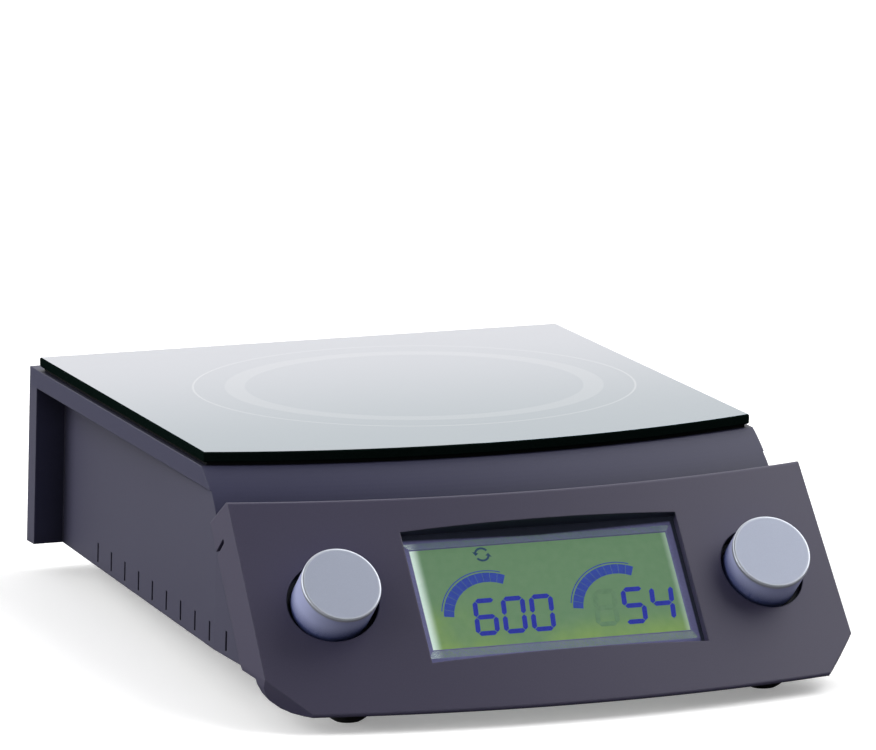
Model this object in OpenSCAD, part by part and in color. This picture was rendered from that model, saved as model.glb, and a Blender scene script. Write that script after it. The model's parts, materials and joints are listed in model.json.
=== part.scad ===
// Infrared laboratory hotplate: a glass-ceramic plate on a bowed housing, with a tilted
// fascia that carries a display and two knobs. Millimetres, front towards -Y, up is +Z.
// The origin is on the bench, under the middle of the part.

/* [Stance] */
// Height of the glass surface above the bench
top_z = 88; // [85:0.5:100]
// Height of the base plate and of the side walls' front ends above the bench
housing_z = 16; // [14:0.5:17]
// Height of the side walls' rear ends above the bench
skirt_z = 11; // [9:0.5:13]
// Height of the fascia's lower edge above the bench
chin_z = 6.2; // [5:0.1:7]

/* [Glass plate] */
// Width of the glass plate
glass_w = 222; // [216:1:240]
// Depth of the glass plate along its straight sides
glass_d = 216; // [210:1:230]
// Thickness of the glass plate
glass_t = 4; // [3:0.5:5]
// Plan radius of the bowed front edge
bow_r = 318; // [300:1:360]
// Width of the ground chamfer around the glass
glass_chamfer = 0.5; // [0.2:0.1:1]
// Thickness of the silicone bead under the glass
seal_t = 1.2; // [0.8:0.1:1.6]
// Width of the silicone bead
seal_w = 6; // [4:0.5:7]
// Distance of the bead from the edge of the glass
seal_inset = 1.5; // [1:0.5:3]

/* [Housing] */
// Width of the ledge beside the glass
side_ledge = 1.2; // [0.8:0.1:3]
// Depth of the ledge behind the glass
rear_ledge = 10; // [8:0.5:14]
// Depth of the ledge in front of the glass
front_ledge = 1; // [0.5:0.5:2]
// Draft of the side walls in degrees
draft = 1.9; // [1:0.1:3]
// Thickness of the moulded walls
wall = 3; // [2.5:0.1:3.5]
// Plan length of the rounded nose in front of the glass
nose_run = 20; // [17:0.5:24]
// Drop from the glass surface to the groove behind the fascia
groove_drop = 23; // [21:0.5:24]
// Radius of the nose's rounded profile
nose_r = 60; // [45:1:120]

/* [Grip recesses] */
// Depth of a grip recess at the rear flange
grip_depth = 12.2; // [9:0.1:13]
// Length over which a grip recess runs out
grip_run = 237; // [225:1:245]
// Height of the band above a grip recess
band_h = 7.5; // [6:0.5:10]
// Thickness of the rear flange
flange_t = 10; // [8:0.5:12]

/* [Side vents] */
// Number of vent slots in each side wall
vent_count = 10; // [6:1:10]
// Width of a vent slot
vent_w = 2; // [1.4:0.1:3]
// Height of a vent slot
vent_h = 7.7; // [6:0.1:10]
// Distance of the vent slots above the walls' lower edge
vent_up = 2; // [1.5:0.1:3]
// Spacing of the vent slots
vent_pitch = 21.5; // [19:0.1:22]
// Distance of the rearmost vent slot from the rear face
vent_rear = 68; // [60:1:72]

/* [Fascia] */
// Tilt of the fascia from the vertical in degrees
tilt = 39.7; // [37:0.1:42]
// Plan distance from the groove to the fascia's lip
lip_run = 18.5; // [16:0.5:22]
// Drop from the glass surface to the lip
lip_drop = 11.2; // [9:0.2:13]
// How far the fascia's cheeks stand proud of the side walls
cheek_proud = 2.6; // [1.5:0.1:3.5]
// Radius of the fascia's lower corners seen from the front
chin_r = 12; // [9:0.5:14]
// Depth of the fascia's chin at its underside
chin_depth = 15; // [12:0.5:18]
// Run of the sloping face behind the chin
chin_lean = 7; // [5:0.5:9]
// Radius of the fascia's lip
lip_r = 1.6; // [1:0.1:2.4]
// Radius of the fascia's lower front edge
toe_r = 1; // [0.6:0.1:2]
// Width of the bevel across each lower front corner
corner_w = 16; // [10:0.5:18]
// Height of the bevel across each lower front corner
corner_h = 13; // [8:0.5:14]
// Depth over which the bevel runs out
corner_back = 12; // [10:0.5:14]
// Width of the seam between the fascia and the housing
seam = 0.4; // [0.2:0.1:0.8]
// Length of the release slot in a cheek
release_l = 8.5; // [7:0.5:12]
// Width of the release slot in a cheek
release_w = 2; // [1.6:0.1:3.2]
// Distance of the release slot up the slope from the window's centre
release_up = 42; // [38:0.5:44]

/* [Display] */
// Width of the display window
window_w = 110; // [100:1:112]
// Height of the display window along the slope
window_h = 55.5; // [50:0.5:57]
// Distance from the lip down the slope to the window's centre
window_drop = 40; // [38:0.5:42]
// Depth of the window pane behind the crown of the fascia
pane_depth = 6.5; // [6:0.1:7.5]
// Thickness of the window pane
pane_t = 1.5; // [1:0.1:2]
// Overlap of the pane behind the window's edges
pane_lap = 1.5; // [1:0.1:2]
// Width of the lit area
lit_w = 103; // [95:1:104]
// Height of the lit area
lit_h = 42.5; // [38:0.5:44]
// Distance of the lit area up the slope from the window's centre
lit_up = 1.2; // [0:0.1:2]
// Thickness of the mask around the lit area
mask_t = 1; // [0.6:0.1:1.2]
// Thickness of the liquid crystal cell
cell_t = 2; // [1.6:0.1:2.4]
// Thickness of the backlight
backlight_t = 3; // [2.4:0.1:3.4]
// Thickness of the printed circuit boards
board_t = 1.6; // [1.2:0.1:2]

/* [Knobs] */
// Distance of each knob from the middle
knob_x = 85.7; // [84:0.1:87]
// Distance of the knobs up the slope from the window's centre
knob_up = 3.4; // [0:0.1:5]
// Diameter of a knob
knob_d = 30.6; // [28:0.2:32]
// Height of a knob's face above the crown of the fascia
knob_rise = 5.7; // [4:0.1:8]
// Radius of a knob's rim
knob_rim = 1.4; // [0.8:0.1:2]
// Thickness of a knob's cap and skirt
knob_wall = 3; // [2.5:0.1:4]
// Width of the gap between a knob and its well
knob_gap = 1.7; // [1.2:0.1:2]
// Depth of a well's floor behind the crown of the fascia
well_depth = 14; // [13.5:0.1:15]
// Diameter of an encoder's shaft
shaft_d = 6; // [5:0.1:6.4]
// Depth of the flat on the shaft
shaft_flat = 1.5; // [1:0.1:2]
// Diameter of an encoder's threaded bush
bush_d = 9; // [8.5:0.1:9.6]
// Height of the threaded bush
bush_l = 7; // [6.4:0.1:7.4]
// Width of an encoder's body
encoder_w = 13; // [11:0.5:14]
// Depth of an encoder's body
encoder_t = 6.5; // [5.5:0.1:7]

/* [Heater] */
// Distance of the heated zone to the right of the middle
heater_x = 10; // [0:0.5:12]
// Distance of the heated zone from the glass's rear edge
heater_back = 111.6; // [106:0.2:116]
// Outer radius of the heater's tray
tray_r = 82; // [78:0.5:84]
// Depth of the heater below the glass
tray_h = 26; // [23:0.5:30]
// Thickness of the tray's sheet
tray_t = 0.8; // [0.6:0.1:1.2]
// Thickness of the insulating floor
floor_t = 11; // [8:0.5:12]
// Thickness of the insulating ring
ring_t = 7; // [5:0.5:9]
// Height of the heating ribbon
ribbon_h = 4; // [3:0.1:4.5]
// Thickness of the heating ribbon
ribbon_t = 1; // [0.6:0.1:1.4]
// Number of turns of the heating ribbon
ribbon_turns = 7; // [4:1:8]
// Inner radius of the heating ribbon
ribbon_r = 14; // [10:1:20]
// Diameter of the temperature limiter's rod
rod_d = 4; // [3:0.1:4.4]
// Clear space around the tray in the housing's top
tray_gap = 4; // [3:0.5:5]
// Width of the heater's support bracket
bracket_w = 40; // [30:1:50]
// Thickness of the support bracket's sheet
bracket_t = 1.5; // [1:0.1:2]
// Length of the support bracket under the tray
bracket_l = 120; // [100:1:130]

/* [Base] */
// Thickness of the base plate
base_t = 2; // [1.5:0.1:2.5]
// Clearance around the base plate
base_gap = 0.5; // [0.3:0.1:0.8]
// Width of a base vent slot
base_vent_w = 3; // [2:0.1:4]
// Length of a base vent slot
base_vent_l = 44; // [30:1:50]
// Number of base vent slots in a row
base_vents = 9; // [5:1:10]
// Spacing of the base vent slots
base_vent_pitch = 9; // [7:0.5:10]
// Distance of the feet inside the side walls
foot_inset = 31.4; // [29:0.1:38]
// Distance of the front feet behind the fascia's lower front edge
foot_front = 33; // [30:0.5:38]
// Distance of the rear feet from the rear face
foot_rear = 32; // [26:0.5:40]
// Diameter of a foot
foot_d = 22; // [20:0.5:24]
// Diameter of a foot's flat tip
foot_tip_d = 9.4; // [9:0.2:11]
// Diameter of the screw recess in a foot
foot_bore_d = 7; // [6.4:0.2:7.6]
// Diameter of the fixing screws
screw_d = 3; // [2.5:0.1:3.2]
// Diameter of the screw heads
head_d = 5.6; // [5:0.1:6]
// Height of the screw heads
head_h = 2; // [1.4:0.1:2.2]
// Clearance around a screw's shank
screw_gap = 0.2; // [0.1:0.05:0.4]
// Diameter of the moulded screw posts
post_d = 8; // [7:0.5:10]

/* [Rear fittings] */
// Distance of the mains inlet to the right of the middle
inlet_x = 58; // [54:1:64]
// Distance of the mains switch to the right of the middle
switch_x = 16; // [8:1:18]
// Height of the rear fittings above the bench
fitting_z = 46; // [42:1:52]
// Width of the inlet's flange
inlet_w = 50; // [48:1:52]
// Height of the inlet's flange
inlet_h = 27; // [25:0.5:28]
// Thickness of the inlet's flange
inlet_t = 2.6; // [2:0.1:3]
// Distance between the inlet's fixing screws
inlet_pitch = 40; // [39:0.5:41]
// Width of the inlet's socket
socket_w = 24.4; // [24:0.1:25]
// Height of the inlet's socket
socket_h = 16.8; // [16.4:0.1:17.2]
// Depth of the inlet's socket
socket_d = 17; // [16:0.5:18]
// Thickness of the inlet's shell
socket_t = 1.6; // [1.2:0.1:2]
// Length of the inlet's contact pins in the socket
pin_l = 14.5; // [13:0.5:15]
// Distance of the outer contact pins from the inlet's middle
pin_x = 7; // [6.6:0.1:7.4]
// Thickness of the inlet's back wall
inlet_back = 3; // [2.5:0.1:3.5]
// Length of the connection tags
tag_l = 8; // [6:0.5:8.5]
// Width of the switch's connection tags
tag_w = 6; // [4:0.5:6.5]
// Thickness of the connection tags
tag_t = 0.8; // [0.6:0.1:1]
// Depth of the switch's body behind the rear face
switch_depth = 18; // [16:0.5:20]
// Width of the switch's frame
switch_w = 25; // [24:0.5:26]
// Height of the switch's frame
switch_h = 32; // [31:0.5:34]
// Thickness of the switch's frame
switch_t = 2; // [1.5:0.1:2.6]
// Width of the rocker
rocker_w = 17; // [15:0.5:18]
// Height of the rocker
rocker_h = 24; // [22:0.5:25]
// Tilt of the rocker each way in degrees
rocker_tilt = 7; // [5:0.5:9]
// Diameter of the rocker's pivot pins
pivot_d = 3; // [2.4:0.1:3.4]
// Clearance around the rocker
rocker_gap = 0.6; // [0.4:0.1:1]
// Radial clearance of the rocker's pins and the encoders' shafts
running_gap = 0.05; // [0.03:0.01:0.08]

/* [Power board] */
// Width of the power board
power_w = 150; // [140:1:156]
// Depth of the power board
power_d = 62; // [58:1:64]
// Height of the power board's spacers
spacer_h = 8; // [6:0.5:10]
// Distance of the power board in front of the heater's tray
power_front = 14; // [12:0.5:16]
// Width of the heat sink
sink_w = 46; // [40:1:48]
// Depth of the heat sink
sink_d = 22; // [18:1:24]
// Height of the heat sink
sink_h = 25.5; // [20:0.5:27]
// Thickness of the heat sink's fins
fin_t = 1.6; // [1.2:0.1:2]
// Width of the transformer's core
core_w = 34; // [30:1:35]
// Thickness of the transformer's core
core_t = 12; // [10:0.5:14]
// Height of the transformer's core
core_h = 30; // [26:0.5:32]
// Width of the relay
relay_w = 29; // [26:0.5:29]
// Depth of the relay
relay_d = 13; // [11:0.5:14]
// Height of the relay
relay_h = 16; // [14:0.5:18]
// Diameter of the capacitor
capacitor_d = 18; // [14:0.5:19]
// Height of the capacitor
capacitor_h = 26; // [20:0.5:28]
// Width of a terminal block
terminal_w = 24; // [22:0.5:25]
// Depth of a terminal block
terminal_d = 12; // [11:0.5:13]
// Height of a terminal block
terminal_h = 13; // [11:0.5:15]
// Width of the flat cable
cable_w = 22; // [16:1:24]
// Thickness of the flat cable
cable_t = 1; // [0.8:0.1:1.2]
// Diameter of the leads
lead_d = 2.4; // [2:0.1:2.8]

/* [Hidden] */
$fn = 64;

// Facets of the large turned surfaces
turn_fn = 200;
// Steps of a rounded corner
corner_steps = 6;
// Reach of cuts past a surface
past = 1;

// Heights
housing_top = top_z - glass_t - seal_t;
glass_z = top_z - glass_t;
groove_z = top_z - groove_drop;
lip_z = top_z - lip_drop;
band_z = housing_top - band_h;
base_top = housing_z + base_t;

// Radii of the front about the upright axis of its bow
nose_start = bow_r + front_ledge;
groove_r = nose_start + nose_run;
lip_reach = groove_r + lip_run;
toe_reach = lip_reach + (lip_z - chin_z) * tan(tilt);

// The part is centred front to back between the fascia's toe and the rear fittings
axis_back = sqrt(pow(bow_r, 2) - pow(glass_w / 2, 2)) - glass_d - rear_ledge;
toe_extent = toe_reach - toe_r * (1 / tan((90 - tilt) / 2) - 1);
pivot_z = -switch_t / 2;
rocker_top = switch_t - pivot_z + rocker_gap;
rocker_rise = pivot_z + rocker_top * cos(rocker_tilt) + rocker_h / 2 * sin(rocker_tilt);
inlet_head_h = head_h * 0.7;
rear_y = (toe_extent - axis_back - max(rocker_rise, inlet_t + inlet_head_h)) / 2;
axis_y = rear_y + axis_back;
toe_y = axis_y - toe_reach;
glass_rear = rear_y - rear_ledge;
heater_y = glass_rear - heater_back;

// Half width of the housing at a height
function half_w(z) = glass_w / 2 + side_ledge + (housing_top - z) * tan(draft);
foot_x = half_w(housing_z) - foot_inset;

// Radius of the fascia's back, and of its front, at a height
function back_reach(z) = groove_r + (groove_z - z) * tan(tilt);
function front_reach(z, inset = 0) = lip_reach + (lip_z - z) * tan(tilt) - inset / cos(tilt);

// Rounded outline: each corner of a convex outline is an arc of its own radius
function unit(v) = v / norm(v);
function before(p, i) = p[(i + len(p) - 1) % len(p)];
function after(p, i) = p[(i + 1) % len(p)];
function half_angle(p, i) = acos(unit(before(p, i) - p[i]) * unit(after(p, i) - p[i])) / 2;
function bisector(p, i) = unit(unit(before(p, i) - p[i]) + unit(after(p, i) - p[i]));
function bearing(v) = atan2(v.y, v.x);
function turn(a, b) = (b - a + 540) % 360 - 180;
function arc(c, r, a, t, n = corner_steps) =
  [for (k = [0 : n]) c + r * [cos(a + t * k / n), sin(a + t * k / n)]];
function corner(p, r, i) =
  let (
    c = p[i] + bisector(p, i) * r / sin(half_angle(p, i)),
    cut = r / tan(half_angle(p, i)),
    from = bearing(p[i] + unit(before(p, i) - p[i]) * cut - c),
    to = bearing(p[i] + unit(after(p, i) - p[i]) * cut - c)
  ) arc(c, r, from, turn(from, to));
function rounded(p, radii) = [for (i = [0 : len(p) - 1])
  each (radii[i] == 0 ? [p[i]] : corner(p, radii[i], i))];
function box_outline(w, h) = [[-w, -h] / 2, [w, -h] / 2, [w, h] / 2, [-w, h] / 2];

module rounded_box(w, h, t, r) linear_extrude(t) polygon(rounded(box_outline(w, h), [r, r, r, r]));
module block(size, at) translate(at) translate([-size.x / 2, -size.y / 2, 0]) cube(size);
module pair() {
  children();
  mirror([1, 0, 0]) children();
}
module turned() translate([0, axis_y, 0]) rotate_extrude($fn = turn_fn) children();
module along_y(y0, y1) translate([0, y1, 0]) rotate([90, 0, 0]) linear_extrude(y1 - y0) children();
module along_x(w) rotate([90, 0, 90]) linear_extrude(w, center = true) children();

// The fascia's own frame: origin on its crown at the window's centre, Y up the slope, Z outwards
module on_fascia() translate([0, axis_y - lip_reach - window_drop * sin(tilt),
  lip_z - window_drop * cos(tilt)])
  rotate([90 - tilt, 0, 0]) children();
module at_knob(side) on_fascia() translate([side * knob_x, knob_up, 0]) children();

// An eight-sided lead along a route of points, with a rounded knuckle at every turn
module lead(route, d) {
  for (i = [0 : len(route) - 2]) {
    u = unit(route[i + 1] - route[i]);
    translate(route[i]) rotate([0, acos(u.z), atan2(u.y, u.x)])
      cylinder(d = d, h = norm(route[i + 1] - route[i]), $fn = 8);
  }
  for (i = [1 : len(route) - 2]) translate(route[i]) sphere(d = d + 0.3, $fn = 10);
}
// A flat strip along a route, mitred at every turn
function heading(route, i) = unit(route[min(i + 1, len(route) - 1)] - route[min(i, len(route) - 2)]);
function mitre(route, i) = let (a = heading(route, max(i - 1, 0)), b = heading(route, i),
  m = unit([-a.y - b.y, a.x + b.x])) m / (m * [-a.y, a.x]);
module strip(route, t) polygon([for (side = [-1, 1]) for (i = [0 : len(route) - 1])
  let (k = side < 0 ? i : len(route) - 1 - i) route[k] + side * mitre(route, k) * t / 2]);

// Housing
nose_chord = [nose_run, groove_z - housing_top];
nose_out = unit([-nose_chord.y, nose_chord.x]);
nose_centre = [nose_start, housing_top] + nose_chord / 2
  - nose_out * sqrt(pow(nose_r, 2) - pow(norm(nose_chord) / 2, 2));
nose_from = bearing([nose_start, housing_top] - nose_centre);
nose_to = bearing([groove_r, groove_z] - nose_centre);
nose_slope = -nose_chord.y / nose_chord.x;
nose_under = groove_z - wall * norm(nose_chord) / nose_chord.x;

module housing_profile() polygon(concat(
  [[0, housing_top]], arc(nose_centre, nose_r, nose_from, nose_to - nose_from, 2 * corner_steps),
  [[back_reach(skirt_z), skirt_z], [0, skirt_z]]));
module cavity_profile() polygon([
  [0, -past], [toe_reach, -past], [toe_reach, nose_under], [groove_r, nose_under],
  [groove_r - (housing_top - wall - nose_under) / nose_slope, housing_top - wall],
  [0, housing_top - wall]]);
module side_bar(inset, z0, z1, y0, y1) along_y(y0, y1) polygon([
  [-half_w(z0) + inset, z0], [half_w(z0) - inset, z0],
  [half_w(z1) - inset, z1], [-half_w(z1) + inset, z1]]);

skirt_rise = base_t / 2;
// Height of the walls' lower edge, which slopes from the rear face up to the fascia's back
skirt_front_y = axis_y - sqrt(pow(back_reach(housing_z), 2) - pow(half_w(housing_z), 2));
function skirt(y) =
  skirt_z + (housing_z + skirt_rise - skirt_z) * (rear_y - y) / (rear_y - skirt_front_y);

grip_end = rear_y - flange_t;
grip_start = grip_end - grip_run;
grip_slope = grip_depth / grip_run;

// What lies outside a side wall that runs inwards towards the rear
module grip_cut(inset, z1, y1) intersection() {
  translate([0, grip_start - past, -past]) cube([2 * half_w(0), y1 - grip_start + past, z1 + past]);
  translate([half_w(housing_top) - inset, grip_start, housing_top]) rotate([0, -draft, 0])
    linear_extrude(4 * top_z, center = true) polygon([[past * grip_slope, -past], [half_w(0), -past],
      [half_w(0), 2 * grip_run], [-2 * grip_depth, 2 * grip_run]]);
}

mid_post = 0.57 * grip_run;
post_at = [for (side = [-1, 1], p = [[half_w(0) - grip_depth - 2 * post_d + wall, rear_y - 2 * post_d],
  [half_w(0) - (grip_run - mid_post) * grip_slope - 1.5 * post_d, grip_end - mid_post],
  [half_w(0) - 2 * post_d, axis_y - bow_r + 5 * post_d]])
  [side * p.x, p.y]];
screw_hole_d = screw_d + 2 * screw_gap;

module posts(d, z0, z1) for (p = post_at) translate([p.x, p.y, z0]) cylinder(d = d, h = z1 - z0);

module inlet_hole() translate([inlet_x, rear_y - wall - past, fitting_z]) rotate([-90, 0, 0])
  block([socket_w + 2 * socket_t + base_gap, socket_h + 2 * socket_t + base_gap, wall + 2 * past],
    [0, 0, 0]);
switch_body_w = switch_w - 2 * switch_t;
switch_body_h = switch_h - 2 * switch_t;
module switch_hole() translate([switch_x, rear_y - wall - past, fitting_z]) rotate([-90, 0, 0])
  block([switch_body_w + base_gap, switch_body_h + base_gap, wall + 2 * past], [0, 0, 0]);
module inlet_screw_holes(d, y0, l) for (side = [-1, 1])
  translate([inlet_x + side * inlet_pitch / 2, y0, fitting_z]) rotate([-90, 0, 0]) cylinder(d = d, h = l);

module housing() color("#58546a") difference() {
  union() {
    difference() {
      intersection() {
        turned() housing_profile();
        side_bar(0, skirt_z, housing_top, toe_y, rear_y);
      }
      pair() grip_cut(0, band_z, grip_end);
      difference() {
        intersection() {
          turned() cavity_profile();
          side_bar(wall, -past, housing_top, toe_y - past, rear_y - wall);
        }
        pair() grip_cut(wall, top_z, rear_y + past);
      }
    }
    posts(post_d, base_top, housing_top - past);
  }
  turned() seam_profile();
  along_x(4 * half_w(0)) polygon([[toe_y, skirt(toe_y)], [toe_y, -past], [rear_y + past, -past],
    [rear_y + past, skirt(rear_y + past)]]);
  posts(screw_d, base_top - past, base_top + post_screw_l);
  translate([heater_x, heater_y, housing_top - wall - past])
    cylinder(r = tray_r + tray_gap, h = wall + 2 * past);
  for (i = [0 : vent_count - 1]) let (y = rear_y - vent_rear - i * vent_pitch)
    translate([0, y, skirt(y) + vent_up + vent_h / 2])
      cube([2 * half_w(0) + 2, vent_w, vent_h], center = true);
  inlet_hole();
  switch_hole();
  inlet_screw_holes(screw_d, rear_y - wall - past, wall + 2 * past);
}
module seam_profile() polygon([[groove_r - seam, groove_z + past], [groove_r + nose_run, groove_z + past],
  [back_reach(-past) + nose_run, -past], [back_reach(-past) - seam, -past], [groove_r - seam, groove_z]]);

// Glass plate and its bead
module glass_outline(inset) intersection() {
  translate([-glass_w / 2 + inset, axis_y - bow_r])
    square([glass_w - 2 * inset, glass_rear - inset - axis_y + bow_r]);
  translate([0, axis_y]) circle(bow_r - inset, $fn = turn_fn);
}
module glass_plate() color("#1c2a26") difference() {
  translate([0, 0, glass_z]) linear_extrude(glass_t) glass_outline(0);
  for (z = [glass_z, top_z]) {
    turned() polygon([[bow_r - glass_chamfer, z], [bow_r, z - glass_chamfer], [bow_r + past, z],
      [bow_r, z + glass_chamfer]]);
    for (side = [-1, 1]) translate([side * glass_w / 2, 0, z]) rotate([0, 45, 0])
      cube([glass_chamfer * sqrt(2), 2 * glass_d + 2 * bow_r, glass_chamfer * sqrt(2)], center = true);
    translate([0, glass_rear, z]) rotate([45, 0, 0])
      cube([glass_w + 2 * past, glass_chamfer * sqrt(2), glass_chamfer * sqrt(2)], center = true);
  }
}
module glass_seal() color("#141416") translate([0, 0, housing_top]) linear_extrude(seal_t) difference() {
  glass_outline(seal_inset);
  glass_outline(seal_inset + seal_w);
}

// Fascia
lip_slope = (lip_z - groove_z) / lip_run;
lip_angle = atan(lip_slope);
// Corner of the fascia's inside under its lip, for a wall of thickness t
function lip_inner(t) =
  let (f = t / cos(tilt), u = t / cos(lip_angle), a = (f - u * tan(tilt)) / (1 + lip_slope * tan(tilt)))
  [lip_reach - a, lip_z - a * lip_slope - u];

cheek_foot = housing_z + skirt_rise;
module fascia_profile() polygon(rounded([[groove_r, groove_z], [lip_reach, lip_z], [toe_reach, chin_z],
  [toe_reach - chin_depth, chin_z], [toe_reach - chin_depth - chin_lean, cheek_foot],
  [back_reach(cheek_foot), cheek_foot]], [0, lip_r, toe_r, 0, 0, 0]));
// The space behind the fascia's front and under its top, set in by a wall of thickness t
module behind_front(t) polygon([lip_inner(t), [front_reach(-past, t), -past], [bow_r - nose_run, -past],
  [bow_r - nose_run, lip_inner(t).y - (lip_inner(t).x - bow_r + nose_run) * lip_slope]]);
module front_bar(inset, r) along_y(toe_y - past, axis_y - bow_r + nose_run * 2) polygon(rounded([
  [-half_w(chin_z) - cheek_proud + inset, chin_z + inset],
  [half_w(chin_z) + cheek_proud - inset, chin_z + inset],
  [half_w(top_z) + cheek_proud - inset, top_z],
  [-half_w(top_z) - cheek_proud + inset, top_z]], [r, r, 0, 0]));
module chin_opening() along_y(toe_y - past, axis_y - bow_r + nose_run * 2)
  translate([-half_w(chin_z) + chin_r, -past])
    square([2 * (half_w(chin_z) - chin_r), chin_z + chin_r + past]);

well_r = knob_d / 2 + knob_gap;
window_rim = 2.5;
stack_back = pane_depth + pane_t + mask_t + cell_t + backlight_t;
display_board_w = window_w + 2 * pane_lap + 3 * post_d / 2;
display_board_h = window_h - 8;
display_post_at = [for (sx = [-1, 1], sy = [-1, 1])
  [sx * (window_w / 2 + window_rim + post_d / 4 + pane_lap),
    lit_up + sy * (display_board_h / 2 - post_d / 3)]];
fascia_post_x = (foot_x + foot_d / 2 + half_w(housing_z) - wall) / 2;
fascia_post_at = [for (side = [-1, 1])
  [side * fascia_post_x,
    axis_y - sqrt(pow(front_reach(base_top, wall) - post_d * 0.9, 2) - pow(fascia_post_x, 2))]];
fascia_post_l = 16;
post_screw_l = 9;

module fascia_inside() intersection() {
  turned() behind_front(wall / 2);
  front_bar(wall / 2, chin_r);
  union() {
    on_fascia() {
      block([window_w + 2 * window_rim, window_h + 2 * window_rim, 2 * pane_depth], [0, 0, -pane_depth]);
      for (side = [-1, 1]) translate([side * knob_x, knob_up, -well_depth - wall])
        cylinder(r = well_r + wall * 0.8, h = 2 * well_depth);
      for (p = display_post_at) translate([p.x, p.y, -stack_back])
        cylinder(d = post_d * 0.7, h = 2 * stack_back);
    }
    for (p = fascia_post_at) translate([p.x, p.y, base_top]) cylinder(d = post_d, h = 4 * fascia_post_l);
  }
}
module fascia() color("#4c4a5e") difference() {
  union() {
    difference() {
      intersection() {
        turned() fascia_profile();
        front_bar(0, chin_r);
      }
      intersection() {
        turned() behind_front(wall);
        union() {
          front_bar(wall, chin_r + wall);
          chin_opening();
        }
      }
    }
    fascia_inside();
  }
  on_fascia() {
    block([window_w, window_h, 3 * pane_depth], [0, 0, -pane_depth - past]);
    for (side = [-1, 1]) translate([side * knob_x, knob_up, 0]) {
      translate([0, 0, -well_depth]) cylinder(r = well_r, h = 2 * well_depth);
      translate([0, 0, -2 * well_depth]) cylinder(d = bush_d + 2 * screw_gap, h = 2 * well_depth);
    }
    for (p = display_post_at) translate([p.x, p.y, -stack_back - past])
      cylinder(d = screw_d * 0.8, h = stack_back - 2 * wall);
  }
  for (p = fascia_post_at) translate([p.x, p.y, base_top - past])
    cylinder(d = screw_d, h = post_screw_l + past);
  pair() {
    release_slot();
    corner_bevel();
  }
}
// A plane across each lower front corner, through two points of the front and one further back
function front_at(x, z) = [x, axis_y - sqrt(pow(front_reach(z), 2) - pow(x, 2)), z];
corner_top = front_at(half_w(chin_z) + cheek_proud, chin_z + corner_h);
corner_foot = front_at(half_w(chin_z) + cheek_proud - corner_w, chin_z);
corner_end = front_at(half_w(chin_z) + cheek_proud - chin_r * (1 - sqrt(0.5)),
  chin_z + chin_r * (1 - sqrt(0.5)))
  + [0, corner_back, 0];
corner_out = unit(cross(corner_foot - corner_top, corner_end - corner_top));
module corner_bevel() translate(corner_top) rotate([0, acos(corner_out.z), bearing(corner_out)])
  block([4 * corner_w, 4 * corner_w, 2 * corner_w], [0, 0, 0]);
module release_slot() on_fascia() translate([half_w(groove_z), release_up, -release_depth])
  rotate([0, 90, 0]) {
  cylinder(d = release_w, h = 4 * wall, center = true);
  translate([0, -release_w / 2, -2 * wall]) cube([2 * release_l, release_w, 4 * wall]);
}
// Front end of the release slot behind the crown: the cheek's back edge less the slot's length
cheek_x = half_w(groove_z) + cheek_proud;
cheek_drop = pow(cheek_x, 2) * cos(tilt) / (2 * (lip_reach + window_drop * sin(tilt)));
fascia_t = lip_run * cos(tilt) + (lip_z - groove_z) * sin(tilt);
release_depth = cheek_drop + fascia_t - release_l + release_w / 2;

// Display
pane_w = window_w + 2 * pane_lap;
pane_h = window_h + 2 * pane_lap;
mask_z = -pane_depth - pane_t - mask_t;
cell_z = mask_z - cell_t;
light_z = cell_z - backlight_t;
module display_pane() color("#c8d2d8") on_fascia() translate([0, 0, -pane_depth - pane_t])
  rounded_box(pane_w, pane_h, pane_t, 1);
module display_mask() color("#70768f") on_fascia() translate([0, 0, mask_z]) difference() {
  rounded_box(pane_w, pane_h, mask_t, 1);
  translate([0, lit_up, 0]) block([lit_w, lit_h, mask_t + 2 * past], [0, 0, -past]);
}
module display_cell() color("#72906f") on_fascia() translate([0, lit_up, cell_z])
  rounded_box(lit_w + 4, lit_h + 6, cell_t, 0.5);
module display_backlight() color("#e6ead8") on_fascia() translate([0, lit_up, light_z]) difference() {
  rounded_box(lit_w + 4, lit_h + 5, backlight_t, 0.8);
  for (i = [-4 : 4]) translate([i * lit_w / 10, -lit_h / 2 - 2.5, backlight_t / 2])
    cube([4, 2, 1.2], center = true);
}
module display_board() color("#2f5d3a") on_fascia() translate([0, 0, light_z - board_t]) difference() {
  translate([0, lit_up, 0]) rounded_box(display_board_w, display_board_h, board_t, 2);
  for (p = display_post_at) translate([p.x, p.y, -past])
    cylinder(d = screw_hole_d, h = board_t + 2 * past);
}
module display_screws() color("#9a9a9e") on_fascia() for (p = display_post_at)
  translate([p.x, p.y, light_z - board_t]) {
    translate([0, 0, -head_h]) cylinder(d = head_d * 0.8, h = head_h);
    cylinder(d = screw_d * 0.8 - 0.1, h = board_t + 5);
  }

// Knobs and encoders
floor_z = -well_depth - wall;
nut_t = 2;
knob_foot = -well_depth + 1;
hub_foot = floor_z + bush_l + 0.5;
hub_d = shaft_d + 5;
shaft_top = knob_rise - knob_wall - 0.5;

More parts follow.
